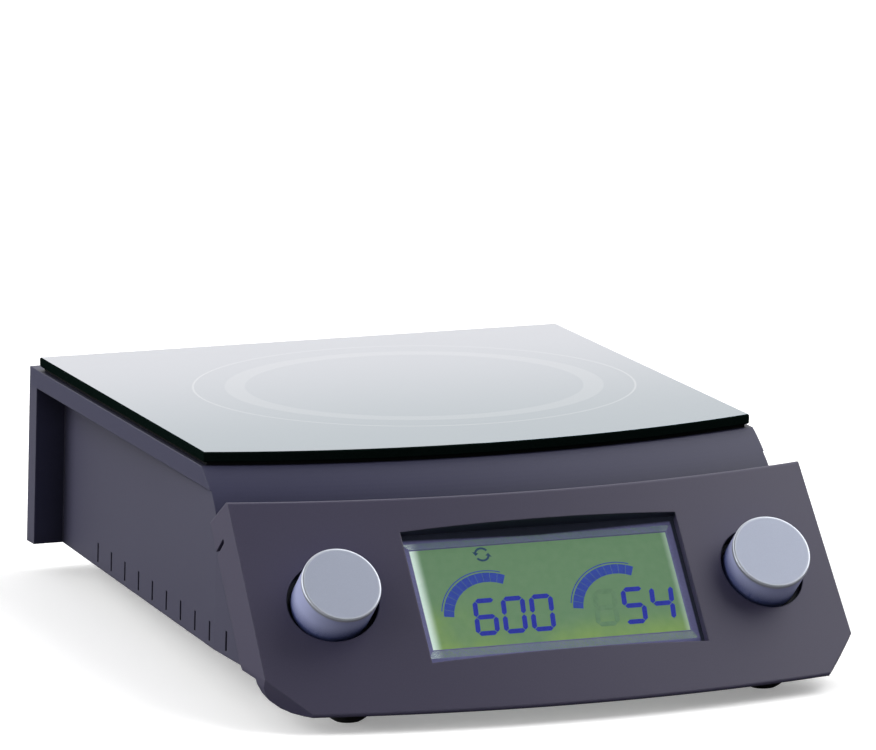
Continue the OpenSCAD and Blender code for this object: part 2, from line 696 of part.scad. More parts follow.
module shaft_section(gap) difference() {
  circle(d = shaft_d + 2 * gap);
  translate([-shaft_d, shaft_d / 2 - shaft_flat + gap]) square([2 * shaft_d, shaft_d]);
}
module encoder() color("#3a3d40") difference() {
  union() {
    translate([0, 0, floor_z - encoder_t]) rounded_box(encoder_w, encoder_w, encoder_t, 1);
    translate([0, 0, floor_z]) cylinder(d = bush_d, h = bush_l);
    for (i = [-1 : 1]) block([1, 0.8, 4], [i * 2.5, -encoder_w / 2 + 1, floor_z - encoder_t - 3.5]);
  }
  translate([0, 0, floor_z - encoder_t + 1])
    cylinder(d = shaft_d + 2 * running_gap, h = encoder_t + bush_l);
}
module encoder_nut() color("#b9bcc0") translate([0, 0, -well_depth]) difference() {
  cylinder(d = bush_d + 5, h = nut_t, $fn = 6);
  translate([0, 0, -past]) cylinder(d = bush_d + 0.1, h = nut_t + 2 * past);
}
module encoder_shaft() color("#b4b6ba") {
  translate([0, 0, floor_z - encoder_t + 1.2])
    cylinder(d = shaft_d, h = hub_foot - floor_z + encoder_t - 1.2);
  translate([0, 0, hub_foot]) linear_extrude(shaft_top - hub_foot) shaft_section(0);
}
module knob() color("#a9afc0") difference() {
  rotate_extrude() polygon(concat(
    [[0, knob_rise]], arc([knob_d / 2 - knob_rim, knob_rise - knob_rim], knob_rim, 90, -90),
    [[knob_d / 2, knob_foot], [0, knob_foot]]));
  difference() {
    translate([0, 0, knob_foot - past])
      cylinder(d = knob_d - 2 * knob_wall, h = knob_rise - knob_wall - knob_foot + past);
    translate([0, 0, hub_foot]) cylinder(d = hub_d, h = knob_rise - hub_foot - past);
  }
  translate([0, 0, hub_foot - past]) linear_extrude(shaft_top + 0.3 - hub_foot + past)
    shaft_section(0.02);
}
module temperature_encoder() at_knob(-1) encoder();
module temperature_nut() at_knob(-1) encoder_nut();
module temperature_shaft() at_knob(-1) encoder_shaft();
module temperature_knob() at_knob(-1) knob();
module timer_encoder() at_knob(1) encoder();
module timer_nut() at_knob(1) encoder_nut();
module timer_shaft() at_knob(1) encoder_shaft();
module timer_knob() at_knob(1) knob();

// Heater
tray_z = glass_z - tray_h;
ribbon_z = tray_z + tray_t + floor_t;
ring_r = tray_r - tray_t;
rod_z = ribbon_z + ribbon_h + 1 + rod_d / 2;
head_w = 22;
head_depth = 16;
limiter_h = 13;
ribbon_out = ring_r - ring_t - 4;
spiral_steps = 24;
function spiral(t, side) =
  let (r = ribbon_r + (ribbon_out - ribbon_r) * t / ribbon_turns + side * ribbon_t / 2)
  r * [cos(360 * t), sin(360 * t)];
module at_heater() translate([heater_x, heater_y, 0]) children();
module rod_hole() translate([0, 0, rod_z]) rotate([0, 90, 0])
  cylinder(d = rod_d + 2 * screw_gap, h = 3 * tray_r, center = true);

module heater_tray() color("#b8b6b0") at_heater() difference() {
  translate([0, 0, tray_z]) cylinder(r = tray_r, h = tray_h - 1.5, $fn = turn_fn);
  translate([0, 0, tray_z + tray_t]) cylinder(r = tray_r - tray_t, h = tray_h, $fn = turn_fn);
  rod_hole();
}
module heater_floor() color("#e9e4d6") at_heater() translate([0, 0, tray_z + tray_t])
  cylinder(r = ring_r, h = floor_t, $fn = turn_fn);
module heater_ring() color("#ded8c8") at_heater() difference() {
  translate([0, 0, ribbon_z]) cylinder(r = ring_r, h = glass_z - ribbon_z, $fn = turn_fn);
  translate([0, 0, ribbon_z - past]) cylinder(r = ring_r - ring_t, h = tray_h, $fn = turn_fn);
  rod_hole();
}
module heating_ribbon() color("#8d7a68") at_heater() translate([0, 0, ribbon_z])
  linear_extrude(ribbon_h) polygon(concat(
  [for (i = [0 : ribbon_turns * spiral_steps]) spiral(i / spiral_steps, 1)],
  [for (i = [ribbon_turns * spiral_steps : -1 : 0]) spiral(i / spiral_steps, -1)]));
module limiter_rod() color("#d8d4c8") at_heater() translate([-tray_r - 1, 0, rod_z]) rotate([0, 90, 0])
  cylinder(d = rod_d, h = 2 * tray_r);
module limiter_head() color("#e4ddca") at_heater()
  translate([-tray_r - 1 - head_w / 2, 0, rod_z - limiter_h + rod_d]) {
  block([head_w, head_depth, limiter_h - rod_d / 2], [0, 0, 0]);
  for (side = [-1, 1]) block([head_w - 8, 1, 5], [-2, side * 4, -5]);
}
module heater_bracket() color("#a5a39c") at_heater() difference() {
  rotate([90, 0, 0]) linear_extrude(bracket_w, center = true) {
    translate([-bracket_l / 2, tray_z - bracket_t]) square([bracket_l, bracket_t]);
    for (side = [-1, 1]) {
      translate([side * (bracket_l - bracket_t) / 2 - bracket_t / 2, base_top])
        square([bracket_t, tray_z - base_top]);
      translate([side * (bracket_l / 2 + 7 - bracket_t / 2) - 7, base_top]) square([14, bracket_t]);
    }
  }
  bracket_holes(screw_hole_d);
}
module bracket_holes(d) for (sx = [-1, 1], sy = [-1, 1])
  translate([sx * (bracket_l / 2 + 8), sy * bracket_w / 4, base_top - base_t - past])
    cylinder(d = d, h = base_t + bracket_t + 2 * past);
module bracket_screws() color("#9a9a9e") at_heater() for (sx = [-1, 1], sy = [-1, 1])
  translate([sx * (bracket_l / 2 + 8), sy * bracket_w / 4, housing_z]) {
    cylinder(d = screw_d, h = base_t + bracket_t);
    translate([0, 0, base_t + bracket_t]) cylinder(d = head_d, h = head_h);
  }

// Power board
power_z = base_top + spacer_h;
power_y = heater_y - tray_r - power_front - power_d / 2;
power_top = power_z + board_t;
spacer_at = [for (sx = [-1, 1], sy = [-1, 1]) [sx * (power_w / 2 - 5), power_y + sy * (power_d / 2 - 5)]];
module power_board() color("#2f5d3a") difference() {
  translate([0, power_y, power_z]) rounded_box(power_w, power_d, board_t, 2);
  for (p = spacer_at) translate([p.x, p.y, power_z - past])
    cylinder(d = screw_hole_d, h = board_t + 2 * past);
}
module board_spacers() color("#c2b280") for (p = spacer_at) translate([p.x, p.y, base_top]) difference() {
  cylinder(d = 7, h = spacer_h, $fn = 6);
  translate([0, 0, -past]) cylinder(d = screw_d, h = spacer_h + 2 * past);
}
module board_screws() color("#9a9a9e") for (p = spacer_at) {
  translate([p.x, p.y, power_top]) cylinder(d = head_d, h = head_h);
  translate([p.x, p.y, power_top - board_t - 5]) cylinder(d = screw_d - 0.1, h = board_t + 5);
  translate([p.x, p.y, housing_z - head_h]) cylinder(d = head_d, h = head_h);
  translate([p.x, p.y, housing_z]) cylinder(d = screw_d - 0.1, h = base_t + spacer_h / 2 - 1);
}
sink_fins = 7;
sink_base = sink_h * 0.15;
module heat_sink() color("#8f9296") translate([-power_w * 0.28, power_y + power_d * 0.19, power_top]) {
  block([sink_w, sink_d, sink_base], [0, 0, 0]);
  for (i = [0 : sink_fins - 1])
    block([fin_t, sink_d, sink_h - sink_base / 2],
      [(i / (sink_fins - 1) - 0.5) * (sink_w - fin_t), 0, sink_base / 2]);
}
module transformer() color("#7a6a4a") translate([power_w * 0.2, power_y + power_d * 0.13, power_top]) {
  block([core_w, core_t, core_h], [0, 0, 0]);
  block([core_w * 0.7, core_t * 2.2, core_h * 0.74], [0, 0, core_h * 0.13]);
}
module relay() color("#2b2d30") translate([-power_w / 15, power_y - power_d * 0.27, power_top])
  rounded_box(relay_w, relay_d, relay_h, 1);
module capacitor() color("#23324f") translate([power_w * 0.387, power_y + power_d * 0.19, power_top])
  cylinder(d = capacitor_d, h = capacitor_h);
block_y = power_y - power_d / 2 + terminal_d * 0.75;
block_x = power_w * 0.32;
way = terminal_w / 3;
block_hole_z = power_top + terminal_h * 0.4;
hole_end = block_y - terminal_d / 12;
module terminal_blocks() color("#3f6b4a") for (side = [-1, 1])
  translate([side * block_x, block_y, power_top]) difference() {
  block([terminal_w, terminal_d, terminal_h], [0, 0, 0]);
  for (i = [-1 : 1]) translate([i * way, hole_end - block_y, block_hole_z - power_top])
    rotate([-90, 0, 0]) cylinder(d = lead_d + 2, h = terminal_d);
}

// Leads
board_back = [axis_y - lip_reach - window_drop * sin(tilt) + (stack_back + board_t) * cos(tilt),
  lip_z - window_drop * cos(tilt) - (stack_back + board_t) * sin(tilt)];
cable_end = [power_y - power_d / 2 + 8, power_top];
module ribbon_cable() color("#8a8d92") translate([power_w / 8, 0, 0]) along_x(cable_w) strip([
  board_back, board_back + 4 * [cos(tilt), -sin(tilt)], [board_back.x + 8, cable_end.y + 6],
  [cable_end.x, cable_end.y + 6], cable_end], cable_t);
head_x = heater_x - tray_r - 1 - head_w / 2 - 2;
head_z = rod_z - limiter_h + rod_d - 5;
lead_top = power_top + sink_h + 4 * lead_d;
lead_drop = 3 * lead_d;
tag_gap = switch_w * 0.16;
module heater_leads() color("#c9c2b4") for (side = [-1, 1]) let (x = -block_x + side * way) lead([
  [head_x, heater_y + side * tag_gap, head_z],
  [head_x, heater_y + side * tag_gap, head_z - lead_drop + side * lead_d],
  [x, power_y + power_d / 2 + 2 * lead_d, lead_top], [x, power_y - lead_d, lead_top],
  [x, block_y + terminal_d, block_hole_z], [x, hole_end, block_hole_z]], lead_d);
socket_floor = inlet_t - socket_d;
pin_y = 2;
switch_tag_y = rear_y - switch_depth - tag_l;
inlet_tag_y = rear_y + socket_floor - inlet_back - tag_l;
lane_x = half_w(housing_z) - grip_depth - 6 * wall;
lane_z = base_top + 1.5 * spacer_h;
lane_end = heater_y + tray_r / 2;
pin_z = fitting_z - pin_y;
module mains_leads() color("#6b4a3a") {
  lead([[switch_x + tag_gap, switch_tag_y, fitting_z],
    [switch_x + tag_gap, switch_tag_y - 2 * lead_d, fitting_z],
    [inlet_x - pin_x, switch_tag_y - 2 * lead_d, pin_z], [inlet_x - pin_x, inlet_tag_y, pin_z]], lead_d);
  lead([[inlet_x + pin_x, inlet_tag_y, pin_z], [inlet_x + pin_x, inlet_tag_y - lead_drop, pin_z],
    [lane_x, lane_end, lane_z], [lane_x, power_y - tag_gap, lane_z],
    [block_x + way, block_y + terminal_d, block_hole_z],
    [block_x + way, hole_end, block_hole_z]], lead_d);
  lead([[switch_x - tag_gap, switch_tag_y, fitting_z],
    [switch_x - tag_gap, switch_tag_y - 4 * lead_d, fitting_z],
    [lane_x - tag_gap, lane_end, lane_z], [lane_x - tag_gap, power_y + 1.5 * tag_gap, lane_z],
    [block_x, block_y + terminal_d + 2 * lead_d, block_hole_z],
    [block_x, hole_end, block_hole_z]], lead_d);
}

// Rear fittings
module at_inlet() translate([inlet_x, rear_y, fitting_z]) rotate([-90, 0, 0]) rotate(180) children();
module socket_outline(gap) polygon(rounded([
  [-socket_w / 2 - gap, -socket_h / 2 - gap], [socket_w / 2 + gap, -socket_h / 2 - gap],
  [socket_w / 2 + gap, socket_h / 2 - 5], [socket_w / 2 - 5, socket_h / 2 + gap],
  [-socket_w / 2 + 5, socket_h / 2 + gap], [-socket_w / 2 - gap, socket_h / 2 - 5]], [1, 1, 1, 1, 1, 1]));
module mains_inlet() color("#1a1a1c") at_inlet() difference() {
  union() {
    rounded_box(inlet_w, inlet_h, inlet_t, 4);
    translate([0, 0, socket_floor - inlet_back]) linear_extrude(-socket_floor + inlet_back + past)
      socket_outline(socket_t);
  }
  translate([0, 0, socket_floor]) linear_extrude(socket_d + past) socket_outline(0);
  for (side = [-1, 1]) translate([side * inlet_pitch / 2, 0, -past])
    cylinder(d = screw_hole_d, h = inlet_t + 2 * past);
  for (p = pin_at) translate([p.x, p.y, socket_floor - inlet_back])
    block([2, 4, inlet_back + past], [0, 0, -past / 2]);
}
pin_at = [[-pin_x, -pin_y], [pin_x, -pin_y], [0, pin_y]];
module inlet_pins() color("#c9b26a") at_inlet() for (p = pin_at) translate([p.x, p.y, socket_floor]) {
  block([2, 4, pin_l + inlet_back], [0, 0, -inlet_back]);
  block([tag_t, 4, tag_l], [0, 0, -inlet_back - tag_l]);
}
module inlet_screws() color("#9a9a9e") at_inlet() for (side = [-1, 1])
  translate([side * inlet_pitch / 2, 0, 0]) {
  translate([0, 0, inlet_t]) cylinder(d = head_d, h = inlet_head_h);
  translate([0, 0, -wall - 4]) cylinder(d = screw_d - 0.1, h = wall + 4 + inlet_t);
}
module at_switch() translate([switch_x, rear_y, fitting_z]) rotate([-90, 0, 0]) rotate(180) children();
well_w = rocker_w + 2 * rocker_gap;
well_h = rocker_h + 2 * rocker_gap;
rocker_dip = 0.7 * switch_t;
module switch_body() color("#1c1c1e") at_switch() difference() {
  union() {
    rounded_box(switch_w, switch_h, switch_t, 2);
    translate([0, 0, -switch_depth]) rounded_box(switch_body_w, switch_body_h, switch_depth + past, 1);
    for (side = [-1, 1]) block([tag_t, tag_w, tag_l], [side * tag_gap, 0, -switch_depth - tag_l]);
  }
  block([well_w, well_h, rocker_h / 2], [0, 0, pivot_z - rocker_h / 4]);
  translate([0, 0, pivot_z]) rotate([0, 90, 0])
    cylinder(d = pivot_d + 2 * running_gap, h = rocker_w + pivot_d, center = true);
}
module power_rocker() color("#26262a") at_switch() translate([0, 0, pivot_z])
  rotate([-rocker_tilt, 0, 0]) {
  along_x(rocker_w) polygon([[-rocker_h / 2, -pivot_d / 3], [0, -pivot_d], [rocker_h / 2, -pivot_d / 3],
    [rocker_h / 2, rocker_top], [0, rocker_top - rocker_dip], [-rocker_h / 2, rocker_top]]);
  rotate([0, 90, 0]) cylinder(d = pivot_d, h = rocker_w + 0.8 * pivot_d, center = true);
}

// Base
notch_gap = 3;
foot_at = [for (y = [toe_y + foot_front, rear_y - foot_rear], side = [-1, 1]) [side * foot_x, y]];
module base_plate() color("#8c8c90") difference() {
  intersection() {
    side_bar(wall + base_gap, housing_z, base_top, toe_y, rear_y - wall - base_gap);
    translate([0, axis_y, 0])
      cylinder(r = front_reach(base_top, wall) - base_gap, h = top_z, $fn = turn_fn);
  }
  pair() grip_cut(wall + base_gap, top_z, rear_y + past);
  translate([-display_board_w / 2 - notch_gap, toe_y, housing_z - past])
    cube([display_board_w + 2 * notch_gap, board_back.x + notch_gap - toe_y, base_t + 2 * past]);
  posts(screw_hole_d, housing_z - past, base_top + past);
  for (p = concat(fascia_post_at, foot_at, spacer_at))
    translate([p.x, p.y, housing_z - past]) cylinder(d = screw_hole_d, h = base_t + 2 * past);
  at_heater() bracket_holes(screw_d + 0.1);
  for (row = [-1, 1], i = [0 : base_vents - 1])
    translate([row * base_vent_l * 0.62, heater_y + (i - (base_vents - 1) / 2) * base_vent_pitch,
      housing_z])
      cube([base_vent_l, base_vent_w, 4 * base_t], center = true);
}
module base_screw(l) {
  translate([0, 0, housing_z - head_h]) cylinder(d = head_d, h = head_h);
  translate([0, 0, housing_z]) cylinder(d = screw_d - 0.1, h = base_t + l);
}
module base_screws() color("#9a9a9e") for (p = post_at) translate([p.x, p.y, 0])
  base_screw(post_screw_l - 1);
module fascia_screws() color("#9a9a9e") for (p = fascia_post_at) translate([p.x, p.y, 0])
  base_screw(post_screw_l - 1);
foot_seat = 5;
tip_angle = acos(foot_tip_d / foot_d);
module foot(i) color("#17171a") translate([foot_at[i].x, foot_at[i].y, 0]) difference() {
  rotate_extrude() polygon(concat([[0, 0]],
    arc([0, foot_d / 2 * sin(tip_angle)], foot_d / 2, -tip_angle, tip_angle, 2 * corner_steps),
    [[foot_d / 2, housing_z], [0, housing_z]]));
  translate([0, 0, -past]) cylinder(d = foot_bore_d, h = foot_seat + past);
  cylinder(d = screw_hole_d, h = housing_z + past);
}
module foot_front_left() foot(0);
module foot_front_right() foot(1);
module foot_rear_left() foot(2);
module foot_rear_right() foot(3);
module foot_screws() color("#9a9a9e") for (p = foot_at) translate([p.x, p.y, foot_seat]) {
  translate([0, 0, -head_h]) cylinder(d = head_d, h = head_h);
  cylinder(d = screw_d - 0.1, h = base_top - foot_seat);
}

housing();
glass_plate();
glass_seal();
fascia();
display_pane();
display_mask();
display_cell();
display_backlight();
display_board();
display_screws();
temperature_encoder();
temperature_nut();
temperature_shaft();
temperature_knob();
timer_encoder();
timer_nut();
timer_shaft();
timer_knob();
heater_tray();
heater_floor();
heater_ring();
heating_ribbon();
limiter_rod();
limiter_head();
heater_bracket();
bracket_screws();
power_board();
board_spacers();
board_screws();
heat_sink();
transformer();
relay();
capacitor();
terminal_blocks();
ribbon_cable();
heater_leads();
mains_leads();
mains_inlet();
inlet_pins();
inlet_screws();
switch_body();
power_rocker();
base_plate();
base_screws();
fascia_screws();
foot_front_left();
foot_front_right();
foot_rear_left();
foot_rear_right();
foot_screws();
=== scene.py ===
import json
import math

import bpy
from mathutils import Matrix, Vector


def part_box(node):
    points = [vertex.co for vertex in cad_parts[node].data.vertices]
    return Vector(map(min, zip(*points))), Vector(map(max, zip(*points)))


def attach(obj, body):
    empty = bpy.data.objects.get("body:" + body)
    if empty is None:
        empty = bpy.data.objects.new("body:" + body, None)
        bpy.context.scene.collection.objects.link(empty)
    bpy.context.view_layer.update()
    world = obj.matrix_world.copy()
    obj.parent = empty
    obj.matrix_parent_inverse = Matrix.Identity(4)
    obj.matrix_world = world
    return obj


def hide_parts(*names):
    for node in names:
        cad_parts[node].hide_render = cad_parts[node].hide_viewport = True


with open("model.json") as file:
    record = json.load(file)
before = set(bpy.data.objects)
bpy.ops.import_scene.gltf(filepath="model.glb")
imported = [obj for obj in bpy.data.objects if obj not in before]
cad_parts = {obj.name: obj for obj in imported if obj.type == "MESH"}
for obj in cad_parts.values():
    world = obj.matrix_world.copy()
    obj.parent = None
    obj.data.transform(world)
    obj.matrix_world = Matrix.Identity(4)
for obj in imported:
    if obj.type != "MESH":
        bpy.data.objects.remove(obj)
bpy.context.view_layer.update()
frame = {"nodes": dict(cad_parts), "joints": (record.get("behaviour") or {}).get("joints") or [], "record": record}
nodes = frame["nodes"]
joints = {j["name"]: j for j in frame["joints"]}
scene = bpy.context.scene
print("frame loaded:", len(nodes), "nodes")

# The fascia's own frame, from the two knob joints: x to the right, y up the slope, z outwards
fascia = {"knobUp": 0.0034, "knobX": 0.0857}
normal = Vector(joints["timer_knob_turn"]["axis"]).normalized()
upSlope = Vector((0, normal.z, -normal.y))
leftKnob = Vector(joints["temperature_knob_turn"]["pos_m"])
rightKnob = Vector(joints["timer_knob_turn"]["pos_m"])
crown = (leftKnob + rightKnob) / 2 - upSlope * fascia["knobUp"]
toFascia = Matrix.Translation(crown) @ Matrix((Vector((1, 0, 0)), upSlope, normal)).transposed().to_4x4()


def deselect():
    bpy.ops.object.select_all(action="DESELECT")


def activate(obj):
    deselect()
    obj.select_set(True)
    bpy.context.view_layer.objects.active = obj


def settle(obj, matrix):
    obj.data.transform(matrix)
    obj.matrix_world = Matrix.Identity(4)
    obj.data.update()


def applyAll(obj):
    activate(obj)
    for mod in list(obj.modifiers):
        bpy.ops.object.modifier_apply(modifier=mod.name)


def bevelled(obj, width, segments, angle=40):
    mod = obj.modifiers.new("edge", "BEVEL")
    mod.width = width
    mod.segments = segments
    mod.limit_method = "ANGLE"
    mod.angle_limit = math.radians(angle)
    mod.harden_normals = False
    applyAll(obj)


def smooth(obj, angle=35):
    activate(obj)
    bpy.ops.object.shade_smooth_by_angle(angle=math.radians(angle))


# Materials
def newMaterial(name):
    mat = bpy.data.materials.new(name)
    mat.use_nodes = True
    tree = mat.node_tree
    tree.nodes.clear()
    out = tree.nodes.new("ShaderNodeOutputMaterial")
    return mat, tree, out


def objectCoords(tree, scale=(1, 1, 1)):
    coords = tree.nodes.new("ShaderNodeTexCoord")
    mapping = tree.nodes.new("ShaderNodeMapping")
    mapping.inputs["Scale"].default_value = scale
    tree.links.new(coords.outputs["Object"], mapping.inputs["Vector"])
    return mapping.outputs["Vector"]


def noise(tree, vector, scale, detail=2.0, rough=0.5):
    tex = tree.nodes.new("ShaderNodeTexNoise")
    tex.inputs["Scale"].default_value = scale
    tex.inputs["Detail"].default_value = detail
    tex.inputs["Roughness"].default_value = rough
    tree.links.new(vector, tex.inputs["Vector"])
    return tex.outputs["Fac"]


def ramp(tree, factor, stops):
    node = tree.nodes.new("ShaderNodeValToRGB")
    band = node.color_ramp
    while len(band.elements) < len(stops):
        band.elements.new(0.5)
    for element, (pos, colour) in zip(band.elements, stops):
        element.position = pos
        element.color = (*colour, 1)
    tree.links.new(factor, node.inputs["Fac"])
    return node.outputs["Color"]


def bump(tree, height, strength, distance):
    node = tree.nodes.new("ShaderNodeBump")
    node.inputs["Strength"].default_value = strength
    node.inputs["Distance"].default_value = distance
    tree.links.new(height, node.inputs["Height"])
    return node.outputs["Normal"]


def shade(c, k):
    return tuple(min(1.0, v * k) for v in c)


def plainFinish(name, colour, rough, metal=0.0, grain=900.0, depth=0.00002, spread=0.12,
                stretch=(1, 1, 1), specular=0.5):
    mat, tree, out = newMaterial(name)
    vector = objectCoords(tree, stretch)
    shader = tree.nodes.new("ShaderNodeBsdfPrincipled")
    fine = noise(tree, vector, grain, 3.0, 0.6)
    paint = ramp(tree, fine, [(0.3, shade(colour, 1 - spread)), (0.7, shade(colour, 1 + spread))])
    tree.links.new(paint, shader.inputs["Base Color"])
    dull = ramp(tree, fine, [(0.2, (rough * 0.9,) * 3), (0.8, (min(1, rough * 1.1),) * 3)])
    tree.links.new(dull, shader.inputs["Roughness"])
    tree.links.new(bump(tree, fine, 0.4, depth), shader.inputs["Normal"])
    shader.inputs["Metallic"].default_value = metal
    shader.inputs["Specular IOR Level"].default_value = specular
    tree.links.new(shader.outputs["BSDF"], out.inputs["Surface"])
    return mat


finishes = {
    "silicone": plainFinish("siliconeBead", (0.004, 0.0045, 0.005), 0.6, specular=0.05),
    "diffuser": plainFinish("diffuser", (0.8, 0.82, 0.7), 0.4),
    "board": plainFinish("boardGreen", (0.03, 0.11, 0.045), 0.4, grain=600),
    "fixing": plainFinish("fixingSteel", (0.55, 0.55, 0.56), 0.35, metal=1.0),
    "black": plainFinish("blackPlastic", (0.014, 0.014, 0.015), 0.45, spread=0.2),
    "sheet": plainFinish("sheetSteel", (0.5, 0.49, 0.46), 0.45, metal=1.0),
    "insulation": plainFinish("insulation", (0.78, 0.74, 0.64), 0.95, grain=350, depth=0.0002),
    "ribbon": plainFinish("heatingRibbon", (0.3, 0.22, 0.16), 0.5, metal=1.0),
    "quartz": plainFinish("quartzRod", (0.8, 0.78, 0.72), 0.3),
    "steatite": plainFinish("steatite", (0.76, 0.7, 0.58), 0.7),
    "brass": plainFinish("brass", (0.62, 0.5, 0.2), 0.35, metal=1.0),
    "sink": plainFinish("sinkAluminium", (0.4, 0.41, 0.43), 0.45, metal=1.0),
    "winding": plainFinish("winding", (0.25, 0.19, 0.09), 0.5, grain=1500),
    "sleeve": plainFinish("capacitorSleeve", (0.02, 0.035, 0.09), 0.3),
    "terminal": plainFinish("terminalGreen", (0.06, 0.17, 0.08), 0.45),
    "flat_cable": plainFinish("flatCable", (0.25, 0.26, 0.28), 0.5, stretch=(40, 1, 1), grain=60),
    "lead_sleeve": plainFinish("leadSleeve", (0.6, 0.55, 0.46), 0.8, grain=2500),
    "lead_pvc": plainFinish("leadPvc", (0.13, 0.06, 0.035), 0.4),
    "rocker": plainFinish("rockerPlastic", (0.02, 0.02, 0.022), 0.35, spread=0.2),
    "base": plainFinish("basePaint", (0.2, 0.2, 0.22), 0.55, grain=1200, depth=0.00004),
    "foot": plainFinish("footRubber", (0.016, 0.016, 0.018), 0.8, grain=700, depth=0.00005, spread=0.25),
}


def valueNode(tree, op, a, b=0.0):
    node = tree.nodes.new("ShaderNodeMath")
    node.operation = op
    for i, v in enumerate((a, b)):
        if isinstance(v, (int, float)):
            node.inputs[i].default_value = v
        else:
            tree.links.new(v, node.inputs[i])
    return node.outputs["Value"]


def along(tree, vector, axis, origin):
    shift = tree.nodes.new("ShaderNodeVectorMath")
    shift.operation = "SUBTRACT"
    tree.links.new(vector, shift.inputs[0])
    shift.inputs[1].default_value = origin
    dot = tree.nodes.new("ShaderNodeVectorMath")
    dot.operation = "DOT_PRODUCT"
    tree.links.new(shift.outputs["Vector"], dot.inputs[0])
    dot.inputs[1].default_value = axis
    return dot.outputs["Value"]


def within(tree, value, half):
    return valueNode(tree, "LESS_THAN", valueNode(tree, "ABSOLUTE", value), half)


def distance(tree, dx, dy):
    squares = [valueNode(tree, "MULTIPLY", d, d) for d in (dx, dy)]
    return valueNode(tree, "SQRT", valueNode(tree, "ADD", *squares))


# How far a point of the fascia's plane is from the nearer knob's axis
def fromKnob(tree, across, slope):
    dx = valueNode(tree, "SUBTRACT", valueNode(tree, "ABSOLUTE", across), fascia["knobX"])
    return distance(tree, dx, valueNode(tree, "SUBTRACT", slope, fascia["knobUp"]))


# Light that is lost in corners, as a factor for the paint
def cornerShade(tree, reach, stops):
    node = tree.nodes.new("ShaderNodeAmbientOcclusion")
    node.samples = 4
    node.inputs["Distance"].default_value = reach
    return ramp(tree, node.outputs["AO"], stops)


def blend(tree, factor, a, b, mode="MIX"):
    node = tree.nodes.new("ShaderNodeMix")
    node.data_type = "RGBA"
    node.blend_type = mode
    for key, v in (("Factor", factor), ("A", a), ("B", b)):
        if isinstance(v, tuple):
            node.inputs[key].default_value = (*v, 1)
        elif isinstance(v, (int, float)):
            node.inputs[key].default_value = v
        else:
            tree.links.new(v, node.inputs[key])
    return node.outputs["Result"]


def softSpan(tree, value, low, high):
    node = tree.nodes.new("ShaderNodeMapRange")
    node.interpolation_type = "SMOOTHSTEP"
    node.inputs["From Min"].default_value = low
    node.inputs["From Max"].default_value = high
    tree.links.new(value, node.inputs["Value"])
    return node.outputs["Result"]


def shellFinish(name, colour, cornerShadeDepth, bandLow=None):
    s = {"recess": (0.014, 0.018, 0.03), "rough": 0.5, "edge": 0.0007, "corner": 0.018, "paintedShade": (0.69, 0.71, 0.88),
         "windowX": 0.05506, "windowY": 0.02781, "well": 0.01706}
    mat, tree, out = newMaterial(name)
    link = tree.links.new
    vector = objectCoords(tree)
    across = along(tree, vector, (1, 0, 0), crown)
    slope = along(tree, vector, upSlope, crown)
    upper = softSpan(tree, slope, s["windowY"] - 0.002, s["windowY"] - 0.001)
    upper = valueNode(tree, "MULTIPLY", upper, within(tree, slope, s["windowY"]))
    window = valueNode(tree, "MULTIPLY", within(tree, across, s["windowX"]), upper)
    well = valueNode(tree, "LESS_THAN", fromKnob(tree, across, slope), s["well"])
    front = valueNode(tree, "GREATER_THAN", along(tree, vector, normal, crown), -0.03)
    inside = valueNode(tree, "MULTIPLY", front, valueNode(tree, "MAXIMUM", window, well))
    fine = noise(tree, vector, 1800, 3.0, 0.6)
    cloud = noise(tree, vector, 14, 2.0)
    plain = ramp(tree, fine, [(0.3, shade(colour, 0.96)), (0.7, shade(colour, 1.04))])
    toned = blend(tree, 0.5, plain, ramp(tree, cloud, [(0.3, (0.93, 0.93, 0.93)), (0.7, (1, 1, 1))]), "MULTIPLY")
    if bandLow is not None:  # painted shadow on the band under the plate's overhang, and painted shade on what faces the front
        facing = tree.nodes.new("ShaderNodeSeparateXYZ")
        link(tree.nodes.new("ShaderNodeNewGeometry").outputs["Normal"], facing.inputs["Vector"])
        high = softSpan(tree, along(tree, vector, (0, 0, 1), (0, 0, bandLow)), -0.003, 0.002)
        frontShade = softSpan(tree, facing.outputs["Y"], -0.3, -0.6)
        toned = blend(tree, valueNode(tree, "MAXIMUM", high, frontShade), toned, s["paintedShade"], "MULTIPLY")
    shader = tree.nodes.new("ShaderNodeBsdfPrincipled")
    # painted shade: the paint darkens in corners, as far as the set depth
    hollow = cornerShade(tree, s["corner"], [(0.45, (cornerShadeDepth, cornerShadeDepth, cornerShadeDepth * 1.15)), (0.92, (1, 1, 1))])
    # painted shade: the top wall of the window and the knob wells are painted dark, where shade falls
    painted = blend(tree, inside, toned, s["recess"])
    link(blend(tree, 1.0, painted, hollow, "MULTIPLY"), shader.inputs["Base Color"])
    dull = ramp(tree, fine, [(0.2, (s["rough"] - 0.03,) * 3), (0.8, (s["rough"] + 0.03,) * 3)])
    link(dull, shader.inputs["Roughness"])
    shader.inputs["Specular IOR Level"].default_value = 0.25
    edge = tree.nodes.new("ShaderNodeBevel")
    edge.samples = 6
    edge.inputs["Radius"].default_value = s["edge"]
    grain = tree.nodes.new("ShaderNodeBump")
    grain.inputs["Strength"].default_value = 0.3
    grain.inputs["Distance"].default_value = 0.00001
    link(fine, grain.inputs["Height"])
    link(edge.outputs["Normal"], grain.inputs["Normal"])
    link(grain.outputs["Normal"], shader.inputs["Normal"])
    link(shader.outputs["BSDF"], out.inputs["Surface"])
    return mat


